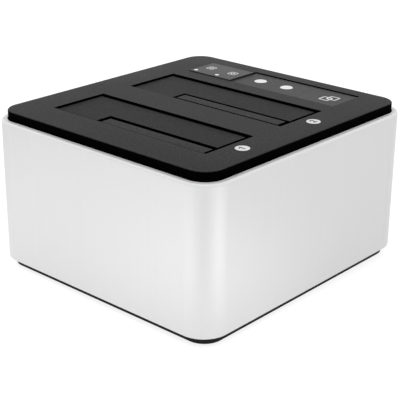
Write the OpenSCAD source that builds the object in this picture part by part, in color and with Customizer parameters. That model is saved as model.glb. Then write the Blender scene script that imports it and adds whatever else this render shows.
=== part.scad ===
// Two-bay docking station for bare hard drives.
// An extruded aluminium sleeve stands on a black base, and a black lid closes its top. The lid has
// two drive slots behind spring flaps, a control strip with two push buttons and two indicator
// lamps, and a number disc at the end of each slot. A drive goes down through a slot into a moulded
// well, and onto a socket on the main board.
// +Z is up, X runs along the slots, -Y is the front and the sockets are in the rear wall at +Y.
// The origin is on the table, under the middle of the sleeve. Sizes are in millimetres.

/* [Sleeve] */
// Width of the sleeve, along the slots
case_w = 148.5; // [146:0.5:180]
// Depth of the sleeve, front to rear
case_d = 160; // [158:0.5:200]
// Height of the sleeve
sleeve_h = 76.3; // [74:0.1:110]
// Wall of the sleeve
sleeve_t = 3; // [2:0.1:3.6]
// Radius of the sleeve's upright corners, outside
corner_r = 14; // [11:0.5:18]
// Rounding of the sleeve's upper outer edge
edge_r = 1.4; // [0.3:0.1:1.8]
// Rounding of the sleeve's lower outer edge
lower_edge_r = 0.4; // [0.2:0.1:1.4]
// How far the ribs in the sleeve's corners stand inwards
rib_t = 3; // [2.8:0.1:4]

/* [Base] */
// Thickness of the base plate below the sleeve
base_t = 4.3; // [2.8:0.1:6]
// Setback of the base plate from the sleeve's front and rear faces
base_inset = 4.1; // [3.4:0.1:5.5]
// Setback of the base plate from the sleeve's left and right faces
base_side_inset = 3.6; // [3.4:0.1:5.5]
// Radius of the base plate's corners
base_r = 10; // [7:0.5:12]
// Height of the rim that centres the sleeve, and that its ribs stand on
base_rim_h = 2.4; // [1:0.1:4]
// Width of that rim
base_rim_t = 4; // [3.4:0.1:5]
// Diameter of a rubber foot
foot_d = 12; // [8:0.5:16]
// How far a foot stands below the base
foot_h = 1; // [0.5:0.1:3]
// How deep a foot is set into the base
foot_seat = 1; // [0.6:0.1:1.4]
// Distance of a foot's centre from the sleeve's outer faces
foot_inset = 17; // [14:0.5:20]
// Play of a foot in its seat
foot_play = 0.1; // [0.05:0.05:0.3]

/* [Lid] */
// How far the lid stands above the sleeve
lid_rise = 4.7; // [3.6:0.1:8]
// Thickness of the lid's plate
lid_t = 3; // [2.6:0.1:3.5]
// Gap between the lid and the sleeve, also used for the base's rim
lid_gap = 0.4; // [0.2:0.05:0.8]
// Rounding of the lid's top edge
lid_edge_r = 0.6; // [0.3:0.1:1.5]
// Thickness of the skirt that goes down inside the sleeve
skirt_t = 2.2; // [1.8:0.1:2.6]
// How far the skirt goes down below the sleeve's rim
skirt_drop = 5; // [3:0.1:9]

/* [Drive slots] */
// Length of a slot, for a drive 101.6 wide
slot_w = 104; // [103:0.5:110]
// Width of a slot across the drive
slot_d = 34.5; // [33:0.5:37]
// Share of the free depth that lies in front of the front slot
front_ratio = 0.358; // [0.3:0.002:0.38]
// Share of the free depth that lies between the two slots
web_ratio = 0.306; // [0.26:0.002:0.34]
// Share of the free depth that lies between the rear slot and the control strip
strip_ratio = 0.158; // [0.14:0.002:0.18]

/* [Flaps] */
// Thickness of a flap
flap_t = 2; // [1.4:0.1:2.4]
// How far the flaps lie below the lid's top
flap_sink = 0.9; // [0.4:0.1:1.2]
// Gap at the rear edge of a large flap
flap_rear_gap = 1.8; // [1:0.1:2.4]
// Gap at the front edge of both flaps
flap_front_gap = 2.2; // [1.2:0.1:2.4]
// Gap at the left end of a large flap
flap_left_gap = 1; // [0.6:0.1:3]
// Gap at the right end of both flaps
flap_right_gap = 3.5; // [0.6:0.1:4]
// Gap between a large flap and a small flap
flap_split = 3.2; // [1.6:0.1:3.6]
// Length of a small flap, whose corner of the slot takes a drive 69.85 wide
small_flap_w = 67.8; // [67:0.1:74]
// Width of a small flap
small_flap_d = 6.6; // [6:0.1:9]
// How much higher than the others the rear small flap rests
rear_small_lift = 0.5; // [0:0.1:0.6]

/* [Hinges] */
// Distance of a hinge pin outside the edge of its slot
hinge_set = 2.5; // [2.3:0.1:3]
// Diameter of a flap's knuckles
knuckle_d = 4; // [3.6:0.1:4.6]
// Length of a knuckle along its pin
knuckle_w = 9; // [5:0.5:14]
// Distance of a knuckle from the end of its flap
knuckle_inset = 1; // [0.5:0.1:4]
// Diameter of a hinge pin
pin_d = 2; // [1.6:0.1:2.2]
// Running clearance of a knuckle on its pin, on the radius
pin_clear = 0.05; // [0.02:0.01:0.1]
// Clearance of the pin's seat in the lid's ears, on the radius
pin_seat_clear = 0.02; // [0.01:0.01:0.05]
// Thickness of an ear that holds a pin
ear_t = 3; // [2:0.1:4]
// Clearance between moving and fixed pieces
run_gap = 0.3; // [0.2:0.05:0.4]
// Height of a flap arm's underside above its pin's axis
arm_low = 0.4; // [0:0.1:0.8]
// How far a flap's arms reach under the flap
arm_l = 4; // [2:0.5:6]

/* [Flap springs] */
// Wire of a torsion spring
spring_wire = 0.5; // [0.3:0.05:0.6]
// Gap between a spring's coil and its pin
spring_gap = 0.35; // [0.3:0.05:0.45]
// Turns of a spring
spring_turns = 5; // [3:1:8]
// Rise of the coil along the pin in one turn
spring_pitch = 1; // [0.9:0.05:1.5]
// Length of a spring's leg under its flap
spring_leg = 6; // [4:0.5:7]
// Length of a spring's leg under the lid
spring_tail = 2.8; // [2:0.1:3]

/* [Drive wells] */
// Wall of a well
well_t = 2; // [1.5:0.1:2.4]
// Play between the ends of the slot and the well's end walls
well_end_gap = 0.6; // [0.4:0.1:1]
// Gap between a well's top and the knuckles above it
well_top_gap = 0.7; // [0.4:0.1:1]
// Thickness of a full-size drive
drive_t = 26.1; // [25.4:0.1:26.4]
// Play of a drive between its guides
drive_play = 0.8; // [0.6:0.1:1.5]
// Width of a guide rib
guide_w = 2; // [1.5:0.1:3]
// Distance between neighbouring guide ribs
guide_pitch = 28; // [20:1:30]
// Diameter of a well's leg
leg_d = 7; // [6:0.1:9]
// Distance between a leg and its well's wall
leg_gap = 1.5; // [1:0.1:3]
// Thickness of the web between a leg and the wall, and of a screw tab
tab_t = 2.2; // [1.6:0.1:3]
// Distance of the screw tabs from the slot's middle line
tab_y = 13; // [11:0.5:15]

/* [Number discs] */
// Diameter of a number disc
disc_d = 7.2; // [6:0.1:9]
// How far a disc stands above the lid
disc_proud = 0.2; // [0.1:0.1:1]
// How deep a disc is set into the lid
disc_seat = 1; // [0.6:0.1:1.4]
// Distance of a disc's middle from the end of the slot
disc_gap = 7.3; // [5.5:0.1:8]

/* [Control strip] */
// Length of the control strip: window, button plate and end plate
strip_w = 101; // [96:0.5:104]
// Place of the strip's middle along X
strip_x = 0.7; // [-1:0.1:2]
// Width of the recess of the button plate and end plate
recess_d = 24.4; // [22:0.1:25]
// Depth of the recess
recess_sink = 0.7; // [0.4:0.1:1.6]
// Thickness of the button plate and end plate
plate_t = 1.5; // [1:0.1:2]
// Length of the end plate
end_plate_w = 26.6; // [20:0.1:30]
// Play of the plates and the window in their pockets
plate_play = 0.12; // [0.05:0.01:0.2]
// Length of the indicator window
window_w = 30.4; // [26:0.1:32]
// Width of the indicator window
window_d = 21; // [18:0.1:22]
// How far the window stands above the lid
window_proud = 0.4; // [0:0.1:0.8]
// Distance from the strip's front edge to the window
window_front = 0.4; // [0:0.1:1]
// Thickness of the lid's floor under the strip
floor_t = 2; // [1.4:0.1:2.4]

/* [Buttons and lamps] */
// Diameter of a push button
button_d = 7.2; // [6:0.1:9]
// Distance between the two buttons
button_pitch = 18.2; // [16:0.1:20]
// Distance of the first button from the left end of the button plate
button_left = 11.8; // [9:0.1:14]
// Distance of the buttons behind the middle line of the button plate
button_back = 1.3; // [0:0.1:2]
// Travel of a button
button_travel = 0.5; // [0.3:0.1:0.8]
// Clearance round a button, on the radius
button_clear = 0.25; // [0.15:0.05:0.4]
// Thickness of a button's flange
flange_t = 1.4; // [1:0.1:2]
// How far the flange stands out round the button
flange_w = 1.3; // [0.8:0.1:1.6]
// Side of a push switch
switch_w = 6; // [5:0.1:7]
// Height of a push switch's body
switch_h = 3.5; // [3:0.1:4.5]
// Diameter of a switch's plunger
plunger_d = 3.4; // [2.6:0.1:3.8]
// How far the plunger stands out of the switch
plunger_out = 1.2; // [1:0.1:2]
// Diameter of a light pipe
pipe_d = 2.4; // [1.8:0.1:3]
// Distance between the two light pipes
pipe_pitch = 15.8; // [13:0.1:18]
// Distance of the first light pipe from the window's left end
pipe_left = 2.6; // [2.4:0.1:4]
// Distance of the light pipes from the window's front edge
pipe_front = 3.2; // [2.6:0.1:5]
// Play of the light pipes in their holes, on the radius
pipe_play = 0.1; // [0.05:0.01:0.2]

/* [Boards] */
// Thickness of a circuit board
board_t = 1.6; // [1:0.1:2]
// Width of the main board
board_w = 100; // [90:1:102]
// Height of the main board's underside above the base
board_lift = 5; // [4.4:0.1:8]
// Gap between the main board and the sleeve's rear wall
board_gap = 0.6; // [0.4:0.1:1]
// Length of a drive socket
sata_w = 42; // [40:0.5:46]
// Width of a drive socket
sata_d = 6.4; // [5.8:0.1:7]
// Height of a drive socket's body
sata_h = 8.6; // [7.6:0.1:10]
// How far the socket's body stands above the floor of the well
sata_stand = 1; // [0.5:0.1:2]
// Place of the drive sockets along X
sata_x = 8; // [0:0.5:16]
// Distance of the socket's middle from the face of a drive
sata_offset = 3.5; // [3.3:0.1:4.5]
// Side of the bridge chip
chip_w = 12; // [9:0.5:14]
// Height of the bridge chip
chip_h = 1.4; // [0.9:0.1:2]
// Fins of the heat sink
fin_count = 6; // [4:1:7]
// Height of the heat sink
sink_h = 7; // [5:0.5:9]
// Diameter of a capacitor
cap_d = 8; // [5:0.5:9]
// Height of a capacitor
cap_h = 11.5; // [7:0.5:13]
// Side of a power inductor
inductor_w = 8; // [6:0.5:9]
// Height of a power inductor
inductor_h = 4; // [3:0.1:5]
// Gap between neighbouring parts on the main board
part_gap = 1; // [0.6:0.1:1.4]
// Width of the ribbon cable
ribbon_w = 12; // [8:0.5:16]
// Thickness of the ribbon cable
ribbon_t = 0.9; // [0.6:0.1:1.2]
// Height of a ribbon header
header_h = 5; // [4:0.1:7]
// Thickness of a ribbon header
header_t = 5; // [4:0.1:6]
// How far a ribbon header reaches beyond the ribbon's edges
header_lip = 1.5; // [1:0.1:2.5]
// Distance of the ribbon headers from the main board's left edge
header_inset = 6; // [5:0.5:9]

/* [Rear sockets] */
// Place of the data socket along X
usb_x = -18; // [-26:0.5:-14]
// Width of the data socket's shell
usb_w = 13; // [12:0.1:14]
// Height of the data socket's shell
usb_h = 12.8; // [12.4:0.1:14]
// Depth of the data socket's shell
usb_d = 16; // [14:0.5:18]
// Place of the power jack along X
jack_x = 18; // [14:0.5:26]
// Side of the power jack's body
jack_w = 10; // [9:0.1:12]
// Depth of the power jack's body
jack_l = 14; // [12:0.5:16]
// Bore of the power jack
jack_bore = 6.4; // [5.6:0.1:7]
// Diameter of the power jack's pin
jack_pin_d = 2.1; // [1.6:0.1:2.5]
// Room round a socket in the hole of the rear wall
port_room = 1; // [0.6:0.1:2]

/* [Screws] */
// Diameter of a screw
screw_d = 3; // [2.5:0.1:3.2]
// Diameter of a screw's head
head_d = 5.6; // [5:0.1:6]
// Height of a screw's head
head_h = 1.6; // [1.2:0.1:1.8]
// Clearance of a screw in its boss, on the radius
thread_clear = 0.03; // [0.02:0.01:0.06]
// Clearance of a screw in a hole that it passes through, on the radius
screw_clear = 0.25; // [0.15:0.05:0.4]
// Wall of a boss round its screw
boss_wall = 1.7; // [1.4:0.1:2]
// Length of the cross slot in a screw's head
cross_l = 3.2; // [2.4:0.1:4]
// Width of the cross slot's arms
cross_w = 0.9; // [0.6:0.1:1.2]
// Depth of the cross slot
cross_t = 0.8; // [0.5:0.1:1]

/* [Hidden] */
$fn = 48;
fuse = 0.5;

// Levels, from the table up
sleeve_z = foot_h + base_t;
rim_z = sleeve_z + sleeve_h;
top_z = rim_z + lid_rise;
lid_under = top_z - lid_t;
skirt_z = rim_z - skirt_drop;
hinge_z = lid_under - run_gap - knuckle_d / 2;
board_z = sleeve_z + board_lift;
board_top = board_z + board_t;

// Outlines, from the sleeve inwards
in_w = case_w - 2 * sleeve_t;
in_d = case_d - 2 * sleeve_t;
in_r = corner_r - sleeve_t;
plug_w = in_w - 2 * lid_gap;
plug_d = in_d - 2 * lid_gap;
plug_r = in_r - lid_gap;
rear_wall = in_d / 2;

// Slots and flaps; u is the distance from a hinge pin, v the height above it
free_d = case_d - 2 * slot_d - recess_d;
slot_pitch = slot_d + free_d * web_ratio;
function slot_y(bay) = -case_d / 2 + free_d * front_ratio + slot_d / 2 + bay * slot_pitch;
flap_v = top_z - flap_sink - flap_t - hinge_z;
flap_x0 = -slot_w / 2 + flap_left_gap;
flap_x1 = slot_w / 2 - flap_right_gap;
small_x0 = flap_x1 - small_flap_w;
notch_x = small_x0 - flap_split;
large_root = hinge_set + flap_rear_gap;
large_end = hinge_set + slot_d - flap_front_gap;
large_notch = large_end - small_flap_d - flap_split;
small_root = hinge_set + flap_front_gap;
small_end = small_root + small_flap_d;
ear_d = knuckle_d + run_gap;
coil_r = pin_d / 2 + spring_gap + spring_wire / 2;

// Wells and their fastenings
well_in_w = slot_w + 2 * well_end_gap;
well_in_d = slot_d + 2 * (hinge_set - arm_low + run_gap);
well_out_w = well_in_w + 2 * well_t;
well_out_d = well_in_d + 2 * well_t;
well_top = hinge_z - knuckle_d / 2 - well_top_gap;
well_floor = board_top + sata_h - sata_stand;
drive_face = flap_v + rear_small_lift + flap_t - hinge_set + run_gap;
leg_x = well_out_w / 2 + leg_gap + leg_d / 2;
boss_d = screw_d + 2 * boss_wall;
base_screw_l = 10;
short_screw_l = 5.5;
screw_spare = 1;
head_room = 0.5;
leg_seat = 1;
lid_skin = 1;

// Control strip
strip_x0 = strip_x - strip_w / 2;
strip_x1 = strip_x + strip_w / 2;
strip_y0 = slot_y(1) + slot_d / 2 + free_d * strip_ratio;
window_x1 = strip_x0 + window_w;
window_y0 = strip_y0 + window_front;
split_x = strip_x1 - end_plate_w;
plate_top = top_z - recess_sink;
pocket_z = plate_top - plate_t;
floor_z = pocket_z - floor_t;
flange_z = floor_z - run_gap - flange_t;
switch_z = flange_z - plunger_out - switch_h;
panel_z = switch_z - board_t;
button_x = [for (i = [0, 1]) window_x1 + button_left + i * button_pitch];
button_y = strip_y0 + recess_d / 2 + button_back;
switch_floor = 0.6;
lamp = [3.2, 1.6, 1.1];
pipe_x = [for (i = [0, 1]) strip_x0 + pipe_left + i * pipe_pitch];
pipe_y = window_y0 + pipe_front;
panel_side = 1;
panel_rear = 2;
panel_x0 = strip_x0 - panel_side;
panel_x1 = button_x[1] + switch_w + boss_d;
panel_y1 = strip_y0 + recess_d - panel_rear;
panel_screws = [
    [panel_x0 + boss_d, panel_y1 - boss_d / 2],
    [panel_x1 - boss_d / 2, panel_y1 - boss_d / 2],
    [window_x1 + boss_d / 2, strip_y0 + boss_d / 2],
];

// Main board and the rear sockets
board_y0 = slot_y(0) - slot_d / 2;
board_y1 = rear_wall - board_gap;
board_screws = [
    for (x = [-1, 1], y = [board_y0 + boss_d / 2, board_y1 - usb_d - boss_d])
        [x * (board_w / 2 - boss_d / 2), y]
];
parts_y = (slot_y(1) + well_out_d / 2 + board_y1 - usb_d) / 2;
socket_y = rear_wall - board_gap;
socket_back = 3;
usb_z = board_top + usb_h / 2;
jack_z = board_top + jack_w / 2;
header_w = ribbon_w + 2 * header_lip;
ribbon_x = -board_w / 2 + header_inset + header_w / 2;
ribbon_top_y = panel_y1 - boss_d - header_t;
ribbon_foot_y = parts_y;

// Flat outline with four round corners
module round_rect(w, d, r) {
    square([w - 2 * r, d], center = true);
    square([w, d - 2 * r], center = true);
    for (x = [-1, 1], y = [-1, 1])
        translate([x * (w / 2 - r), y * (d / 2 - r)]) circle(r);
}

// Places children at the centres of the four corner arcs of such an outline, turned to face outwards
module at_corners(w, d, r) {
    for (side = [0:3]) {
        half = side % 2 == 0 ? w / 2 : d / 2;
        length = side % 2 == 0 ? d : w;
        rotate(90 * side) translate([half - r, length / 2 - r, 0]) children();
    }
}

// Sweeps a profile round such an outline; the profile's x counts outwards from the outline
module sweep_round(w, d, r) {
    at_corners(w, d, r) rotate_extrude(angle = 90) translate([r, 0]) children();
    for (side = [0:3]) {
        half = side % 2 == 0 ? w / 2 : d / 2;
        length = side % 2 == 0 ? d : w;
        rotate(90 * side) translate([half, length / 2 - r, 0])
            rotate([90, 0, 0]) linear_extrude(length - 2 * r) children();
    }
}

// Extrudes a profile of (y, z) along +X
module along_x(length) {
    rotate([90, 0, 90]) linear_extrude(length) children();
}

// Screw with its point up, its head's underside at z = 0, and a cross slot in the head
module screw(length) {
    difference() {
        translate([0, 0, -head_h]) cylinder(d = head_d, h = head_h);
        for (turn = [0, 90]) translate([0, 0, -head_h]) rotate(turn)
            cube([cross_l, cross_w, 2 * cross_t], center = true);
    }
    translate([0, 0, -fuse]) cylinder(d = screw_d, h = length + fuse);
}

// Bore that a screw cuts its thread in
module thread_bore(length) {
    cylinder(d = screw_d + 2 * thread_clear, h = length);
}

// Places children at the four corners of a rectangle
module four(x, y) {
    for (sx = [-1, 1], sy = [-1, 1]) translate([sx * x, sy * y, 0]) children();
}

// Places children at the legs of both wells, which are also the places of the base screws
module at_legs() {
    for (bay = [0, 1], side = [-1, 1]) translate([side * leg_x, slot_y(bay), 0]) children();
}

// Places children at the screw tabs of one well
module at_tabs(bay) {
    translate([0, slot_y(bay), 0]) four(leg_x, tab_y) children();
}

// Base: a plate set back under the sleeve, a rim inside the sleeve that its ribs stand on, seats for
// the legs of the wells, and posts for the main board
module base_plate() {
    color("#1b1b1c") difference() {
        union() {
            translate([0, 0, foot_h]) linear_extrude(base_t + fuse)
                round_rect(case_w - 2 * base_side_inset, case_d - 2 * base_inset, base_r);
            sweep_round(plug_w, plug_d, plug_r)
                translate([-base_rim_t, sleeve_z]) square([base_rim_t, base_rim_h]);
            at_legs() translate([0, 0, sleeve_z - fuse])
                cylinder(d = leg_d + 2 * leg_seat, h = base_rim_h + fuse);
            for (at = board_screws)
                translate([at[0], at[1], sleeve_z - fuse]) cylinder(d = boss_d, h = board_lift + fuse);
        }
        four(case_w / 2 - foot_inset, case_d / 2 - foot_inset)
            translate([0, 0, foot_h - fuse]) cylinder(d = foot_d + 2 * foot_play, h = foot_seat + fuse);
        at_legs() {
            translate([0, 0, foot_h - fuse]) cylinder(d = head_d + 2 * head_room, h = head_h + 2 * fuse);
            cylinder(d = screw_d + 2 * screw_clear, h = sleeve_z + base_rim_h + fuse);
        }
        for (at = board_screws)
            translate([at[0], at[1], board_z - short_screw_l]) thread_bore(short_screw_l + fuse);
    }
}

// Feet: soft discs set into the base, with an eased lower edge
module rubber_feet() {
    ease = foot_h / 2;
    color("#2a2a2a") four(case_w / 2 - foot_inset, case_d / 2 - foot_inset)
        rotate_extrude() polygon([
            [0, 0], [foot_d / 2 - ease, 0], [foot_d / 2, ease], [foot_d / 2, foot_h + foot_seat],
            [0, foot_h + foot_seat],
        ]);
}

// Main board, from the front slot to the rear wall
module main_board() {
    color("#1d4a35") difference() {
        translate([-board_w / 2, board_y0, board_z]) cube([board_w, board_y1 - board_y0, board_t]);
        for (at = board_screws)
            translate([at[0], at[1], board_z - fuse])
                cylinder(d = screw_d + 2 * screw_clear, h = board_t + 2 * fuse);
    }
}

// Screws that hold the main board down on the base
module main_board_screws() {
    color("#b9bcc0") for (at = board_screws)
        translate([at[0], at[1], board_top]) mirror([0, 0, 1]) screw(short_screw_l);
}

// Socket for one drive: a body with two contact slots, between two guide towers
module drive_socket(bay) {
    tower_w = 4.4;
    tower_rise = 4;
    slot_t = 2.2;
    slot_depth = 6;
    data_w = 10.6;
    power_w = 20.6;
    wall = (sata_w - 2 * tower_w - data_w - power_w) / 3;
    color("#141414")
        translate([sata_x, slot_y(bay) - slot_d / 2 + drive_face + sata_offset, board_top])
            difference() {
                union() {
                    translate([-sata_w / 2, -sata_d / 2, 0]) cube([sata_w, sata_d, sata_h]);
                    for (x = [-sata_w / 2, sata_w / 2 - tower_w])
                        translate([x, -sata_d / 2, 0]) cube([tower_w, sata_d, sata_h + tower_rise]);
                }
                translate([-sata_w / 2 + tower_w + wall, -slot_t / 2, sata_h - slot_depth])
                    cube([data_w, slot_t, slot_depth + fuse]);
                translate([sata_w / 2 - tower_w - wall - power_w, -slot_t / 2, sata_h - slot_depth])
                    cube([power_w, slot_t, slot_depth + fuse]);
            }
}

// Chip that joins the drives to the data socket
module bridge_chip() {
    color("#202124") translate([-chip_w / 2, parts_y - chip_w / 2, board_top])
        cube([chip_w, chip_w, chip_h]);
}

// Finned heat sink on the bridge chip
module heat_sink() {
    foot_t = 1.5;
    fin_t = 1;
    side = chip_w + 2;
    pitch = (side - fin_t) / (fin_count - 1);
    color("#8f959b") translate([-side / 2, parts_y - side / 2, board_top + chip_h]) {
        cube([side, side, foot_t]);
        for (i = [0:fin_count - 1])
            translate([i * pitch, 0, foot_t - fuse]) cube([fin_t, side, sink_h - foot_t + fuse]);
    }
}

// Three electrolytic capacitors with rounded shoulders
module capacitors() {
    shoulder = 0.6;
    color("#2f3b55") for (i = [0:2])
        translate([board_w / 2 - 1.5 * boss_d - cap_d / 2 - i * (cap_d + part_gap), parts_y, board_top])
            rotate_extrude() {
                square([cap_d / 2, cap_h - shoulder]);
                square([cap_d / 2 - shoulder, cap_h]);
                translate([cap_d / 2 - shoulder, cap_h - shoulder])
                    intersection() {
                        circle(shoulder);
                        square(shoulder);
                    }
            }
}

// Two square power inductors with eased corners
module inductors() {
    color("#3a3a3c") for (i = [-1, 1])
        translate([usb_x, parts_y + i * (inductor_w + part_gap) / 2, board_top])
            linear_extrude(inductor_h) round_rect(inductor_w, inductor_w, inductor_w / 8);
}

// Mouth of the data socket: a square throat with clipped corners and a narrow one above it
module data_mouth() {
    throat_w = 8.6;
    throat_h = 7.4;
    clip = 1.4;
    upper_w = throat_w - 2 * clip;
    upper_h = 3.2;
    translate([0, -(throat_h + upper_h) / 2]) polygon([
        [-throat_w / 2, 0], [throat_w / 2, 0], [throat_w / 2, throat_h - clip],
        [upper_w / 2, throat_h], [upper_w / 2, throat_h + upper_h],
        [-upper_w / 2, throat_h + upper_h], [-upper_w / 2, throat_h], [-throat_w / 2, throat_h - clip],
    ]);
}

// Metal shell of the data socket
module data_socket_shell() {
    color("#c3c6ca") translate([usb_x, socket_y - usb_d, usb_z]) difference() {
        translate([-usb_w / 2, 0, -usb_h / 2]) cube([usb_w, usb_d, usb_h]);
        translate([0, usb_d + fuse, 0]) rotate([90, 0, 0])
            linear_extrude(usb_d - socket_back + fuse) data_mouth();
    }
}

// Plastic tongue of the data socket, which carries the contacts
module data_socket_tongue() {
    recess = 2;
    lower_w = 5.6;
    lower_h = 3.2;
    lower_z = -3.2;
    upper_w = 4;
    upper_h = 1.4;
    upper_z = 3;
    length = usb_d - socket_back - recess;
    color("#2b4f9c") translate([usb_x, socket_y - usb_d + socket_back, usb_z]) {
        translate([-lower_w / 2, 0, lower_z]) cube([lower_w, length, lower_h]);
        translate([-upper_w / 2, 0, upper_z]) cube([upper_w, length, upper_h]);
    }
}

// Body of the power jack: a block with a round collar at its mouth
module power_jack() {
    collar_l = 3;
    color("#161616") translate([jack_x, socket_y, jack_z]) rotate([90, 0, 0]) difference() {
        union() {
            cylinder(d = jack_w, h = collar_l + fuse);
            translate([-jack_w / 2, -jack_w / 2, collar_l]) cube([jack_w, jack_w, jack_l - collar_l]);
        }
        translate([0, 0, -fuse]) cylinder(d = jack_bore, h = jack_l - socket_back + fuse);
    }
}

// Centre pin of the power jack
module power_jack_pin() {
    recess = 1;
    color("#d2b978") translate([jack_x, socket_y - recess, jack_z]) rotate([90, 0, 0])
        cylinder(d = jack_pin_d, h = jack_l - socket_back - recess);
}

// Box headers at the two ends of the ribbon cable
module ribbon_headers() {
    color("#e8e6df") {
        translate([ribbon_x - header_w / 2, ribbon_foot_y - header_t / 2, board_top])
            cube([header_w, header_t, header_h]);
        translate([ribbon_x - header_w / 2, ribbon_top_y - header_t / 2, panel_z - header_h])
            cube([header_w, header_t, header_h]);
    }
}

// Flat ribbon cable in a gentle S between the two headers
module ribbon_cable() {
    steps = 24;
    z0 = board_top + header_h;
    z1 = panel_z - header_h;
    function bend(t) = ribbon_foot_y + (ribbon_top_y - ribbon_foot_y) * (1 - cos(180 * t)) / 2;
    function edge(side) = [
        for (i = [0:steps]) [bend(i / steps) + side * ribbon_t / 2, z0 + (z1 - z0) * i / steps]
    ];
    right = edge(1);
    color("#9a9da1") translate([ribbon_x - ribbon_w / 2, 0, 0]) along_x(ribbon_w)
        polygon(concat(edge(-1), [for (i = [steps:-1:0]) right[i]]));
}

// Drive well: a deep box under a slot, with guide ribs, a floor with a hole for the socket, two legs
// that stand on the base and four tabs that are screwed to the lid
module drive_well(bay) {
    box_z = well_floor - well_t;
    leg_z = sleeve_z + base_rim_h;
    leg_top = (well_floor + well_top) / 2;
    socket_gap = 0.4;
    front_reach = well_in_d / 2 - slot_d / 2 + drive_face;
    rear_reach = well_in_d - front_reach - drive_t - drive_play;
    swing_room = 1;
    front_h = hinge_z - small_end - swing_room - well_floor;
    rear_h = hinge_z - large_end - swing_room - well_floor;
    color("#232324") translate([0, slot_y(bay), 0]) difference() {
        union() {
            difference() {
                translate([-well_out_w / 2, -well_out_d / 2, box_z])
                    cube([well_out_w, well_out_d, well_top - box_z]);
                translate([-well_in_w / 2, -well_in_d / 2, well_floor])
                    cube([well_in_w, well_in_d, well_top]);
            }
            for (i = [-1.5:1:1.5]) {
                translate([i * guide_pitch - guide_w / 2, -well_in_d / 2 - fuse, well_floor - fuse])
                    cube([guide_w, front_reach + fuse, front_h + fuse]);
                translate([i * guide_pitch - guide_w / 2, well_in_d / 2 - rear_reach, well_floor - fuse])
                    cube([guide_w, rear_reach + fuse, rear_h + fuse]);
            }
            for (side = [-1, 1]) {
                translate([side * leg_x, 0, leg_z]) cylinder(d = leg_d, h = leg_top - leg_z);
                translate([side * (well_out_w / 2 - fuse + leg_x) / 2, 0, (box_z + leg_top) / 2])
                    cube([leg_x - well_out_w / 2 + fuse, tab_t, leg_top - box_z], center = true);
            }
            four(leg_x, tab_y) translate([0, 0, well_top - tab_t]) cylinder(d = boss_d, h = tab_t);
            for (side = [-1, 1], y = [-tab_y, tab_y])
                translate([side * (well_out_w / 2 - fuse + leg_x) / 2, y, well_top - tab_t / 2])
                    cube([leg_x - well_out_w / 2 + fuse, boss_d, tab_t], center = true);
        }
        for (side = [-1, 1])
            translate([side * leg_x, 0, leg_z - fuse]) thread_bore(base_screw_l + fuse);
        four(leg_x, tab_y) translate([0, 0, well_top - tab_t - fuse])
            cylinder(d = screw_d + 2 * screw_clear, h = tab_t + 2 * fuse);
        translate([
            sata_x - sata_w / 2 - socket_gap,
            -slot_d / 2 + drive_face + sata_offset - sata_d / 2 - socket_gap,
            box_z - fuse,
        ]) cube([sata_w + 2 * socket_gap, sata_d + 2 * socket_gap, well_t + 2 * fuse]);
    }
}

// Screws that hold the wells up against the lid
module well_screws() {
    color("#b9bcc0") for (bay = [0, 1])
        at_tabs(bay) translate([0, 0, well_top - tab_t]) screw(tab_t + short_screw_l - screw_spare);
}

// Screws through the base into the legs of the wells
module base_screws() {
    color("#3b3c3f") at_legs() translate([0, 0, foot_h + head_h + fuse]) screw(base_screw_l);
}

// Sleeve: an extruded tube with eased edges, ribs in its corners that stand on the base and carry the
// lid, and holes for the two sockets in its rear wall
module aluminium_sleeve() {
    hole_r = 1.5;
    color("#d7d9db") translate([0, 0, sleeve_z]) difference() {
        union() {
            sweep_round(case_w, case_d, corner_r) {
                translate([-sleeve_t, lower_edge_r]) square([sleeve_t, sleeve_h - edge_r - lower_edge_r]);
                translate([-sleeve_t, 0]) square([sleeve_t - lower_edge_r, sleeve_h / 2]);
                translate([-lower_edge_r, lower_edge_r]) circle(lower_edge_r);
                translate([-sleeve_t, sleeve_h / 2]) square([sleeve_t - edge_r, sleeve_h / 2]);
                translate([-edge_r, sleeve_h - edge_r]) circle(edge_r);
            }
            at_corners(in_w, in_d, in_r)
                rotate_extrude(angle = 90) translate([in_r - rib_t, base_rim_h])
                    square([rib_t + sleeve_t / 2, skirt_z - sleeve_z - base_rim_h]);
        }
        translate([usb_x, case_d / 2 + fuse, usb_z - sleeve_z]) rotate([90, 0, 0])
            linear_extrude(sleeve_t + 2 * fuse)
                round_rect(usb_w + 2 * port_room, usb_h + 2 * port_room, hole_r);
        translate([jack_x, case_d / 2 + fuse, jack_z - sleeve_z]) rotate([90, 0, 0])
            cylinder(d = jack_w + 2 * port_room, h = sleeve_t + 2 * fuse);
    }
}

// X places of a flap's two knuckles
function knuckles(x0, x1) = [x0 + knuckle_inset, x1 - knuckle_inset - knuckle_w];

// X places of the two ears that hold a flap's pin
function ears(x0, x1) = [
    knuckles(x0, x1)[0] - run_gap - ear_t, knuckles(x0, x1)[1] + knuckle_w + run_gap,
];

// Places children on the pin of a large flap, with u along +Y
module at_large_pin(bay) {
    translate([0, slot_y(bay) + slot_d / 2 + hinge_set, hinge_z]) mirror([0, 1, 0]) children();
}

// Places children on the pin of a small flap, with u along +Y
module at_small_pin(bay) {
    translate([0, slot_y(bay) - slot_d / 2 - hinge_set, hinge_z]) children();
}

// The two ears under the lid that hold one pin
module pin_ears(x0, x1) {
    for (x = ears(x0, x1)) translate([x, 0, 0]) along_x(ear_t) {
        circle(d = ear_d);
        translate([-ear_d / 2, 0]) square([ear_d, lid_under - hinge_z + fuse]);
    }
}

// A straight bore or pin along X, from one ear to the other
module pin_line(x0, x1, d, extra = 0) {
    at = ears(x0, x1);
    translate([at[0] - extra, 0, 0]) rotate([0, 90, 0])
        cylinder(d = d, h = at[1] + ear_t - at[0] + 2 * extra);
}

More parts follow.
